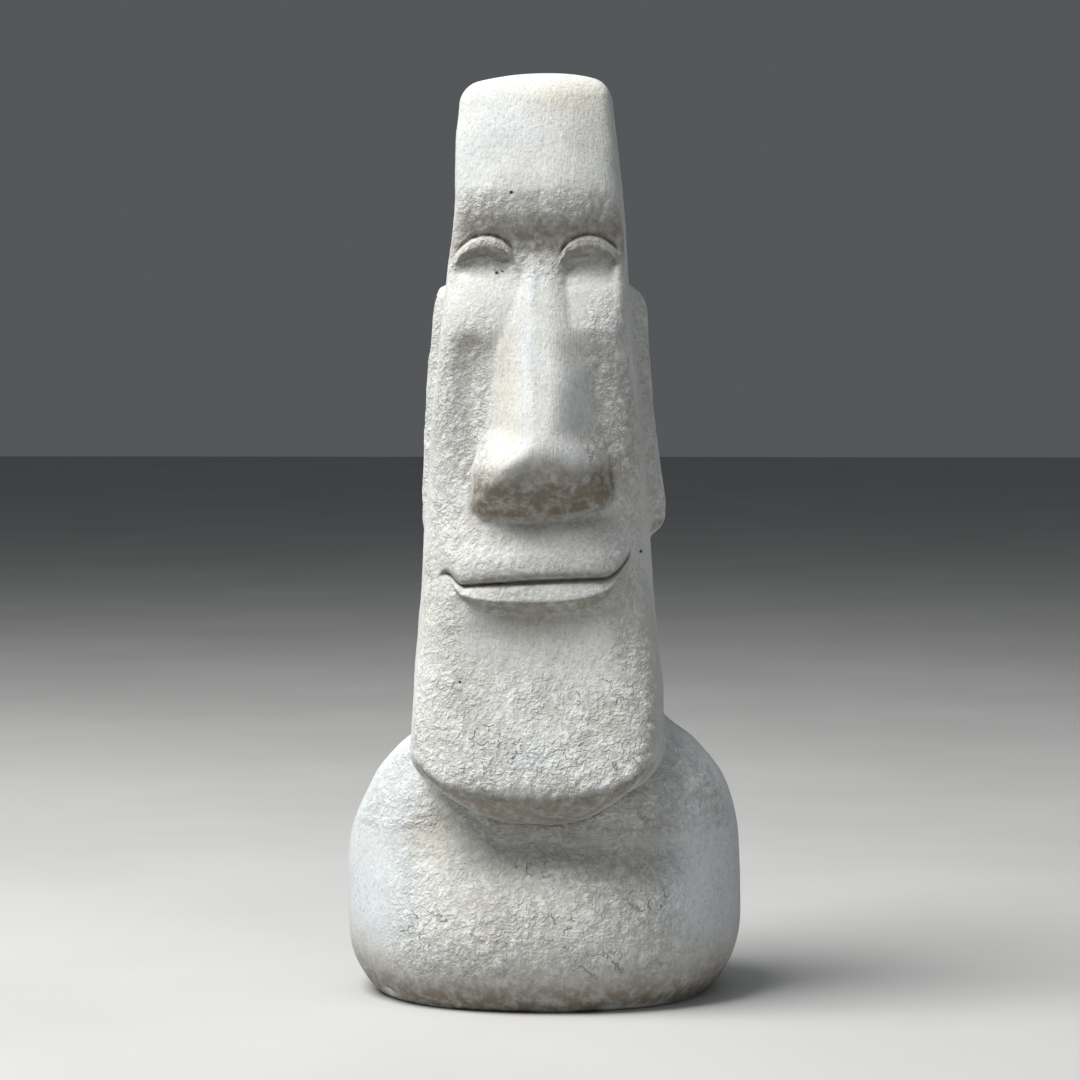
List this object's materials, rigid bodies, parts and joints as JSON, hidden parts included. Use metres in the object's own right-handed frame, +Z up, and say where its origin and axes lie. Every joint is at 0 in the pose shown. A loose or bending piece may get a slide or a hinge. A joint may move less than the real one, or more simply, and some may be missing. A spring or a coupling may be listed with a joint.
{
  "type": "garden statue",
  "caption": "Cast stone garden statue of a moai: a long stylised head with heavy brow, broad nose and thin mouth on rounded shoulders that stand flat.",
  "frame": {"origin": "middle of the flat underside", "axes": "+Z up along the statue's height, the face looks towards -Y, +X towards the statue's left shoulder"},
  "size_m": [0.19, 0.165, 0.44],
  "materials": {
    "cast_stone": "matt, rough cast stone"
  },
  "bodies": {
    "root": {"moai_statue": "cast_stone"}
  },
  "joints": []
}
